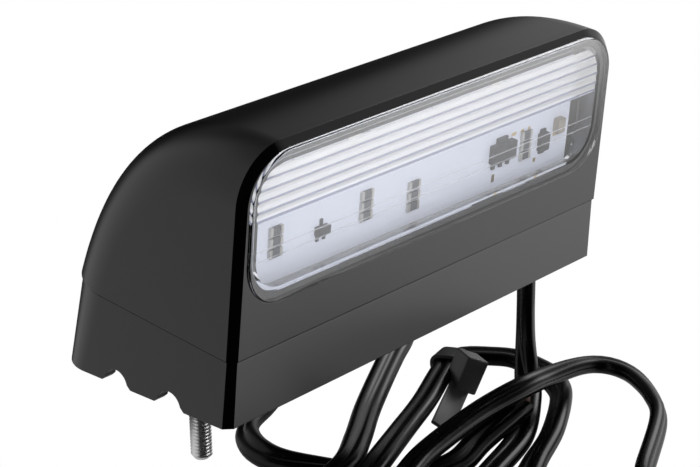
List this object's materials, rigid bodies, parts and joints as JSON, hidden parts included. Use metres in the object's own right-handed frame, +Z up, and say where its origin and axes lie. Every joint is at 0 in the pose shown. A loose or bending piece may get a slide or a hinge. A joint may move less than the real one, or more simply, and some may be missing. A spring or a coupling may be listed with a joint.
{
  "type": "number plate lamp",
  "caption": "Surface-mounted number plate lamp with a leaning black housing, a wedge base, a fluted clear lens over a lit circuit board, threaded fixing studs and a flat twin cable.",
  "frame": {"origin": "middle of the base's flat mounting face, midway between the fixing studs", "axes": "+X along the lamp's length, -Y out of the lens, +Z up from the mounting face into the housing"},
  "size_m": [0.1222, 0.1155, 0.0859],
  "materials": {
    "housing": "satin, fine moulded grain",
    "clear_lens": "clear polished plastic",
    "seal_rubber": "matt",
    "board_white": "semi gloss solder mask",
    "reflector_white": "gloss white",
    "led_phosphor": "translucent",
    "chip_black": "matt",
    "resistor_dark": "glazed",
    "capacitor_tan": "ceramic",
    "zinc_steel": "bright zinc",
    "screw_steel": "bright zinc",
    "cable_jacket": "satin",
    "core_brown": "satin",
    "core_black": "satin",
    "tinned_copper": "tinned strands",
    "nylon_black": "satin"
  },
  "bodies": {
    "root": {"cap": "housing", "base": "housing", "case_seal": "seal_rubber", "case_screws": "screw_steel", "stud_left": "zinc_steel", "stud_right": "zinc_steel", "lens": "clear_lens", "lens_seal": "seal_rubber", "board": "board_white", "board_screws": "screw_steel", "reflector": "reflector_white", "led_left": "led_phosphor", "led_right": "led_phosphor", "driver_chip": "chip_black", "transistor": "chip_black", "diode_right": "chip_black", "capacitor_right": "capacitor_tan", "resistors_left": "resistor_dark", "resistors_inner": "resistor_dark", "resistors_centre": "resistor_dark", "resistors_right": "resistor_dark", "grommet": "seal_rubber", "inner_core_a": "core_brown", "inner_core_b": "core_black", "cord": "cable_jacket", "end_cores": "core_brown", "core_tips": "tinned_copper", "cable_tie": "nylon_black"}
  },
  "joints": []
}
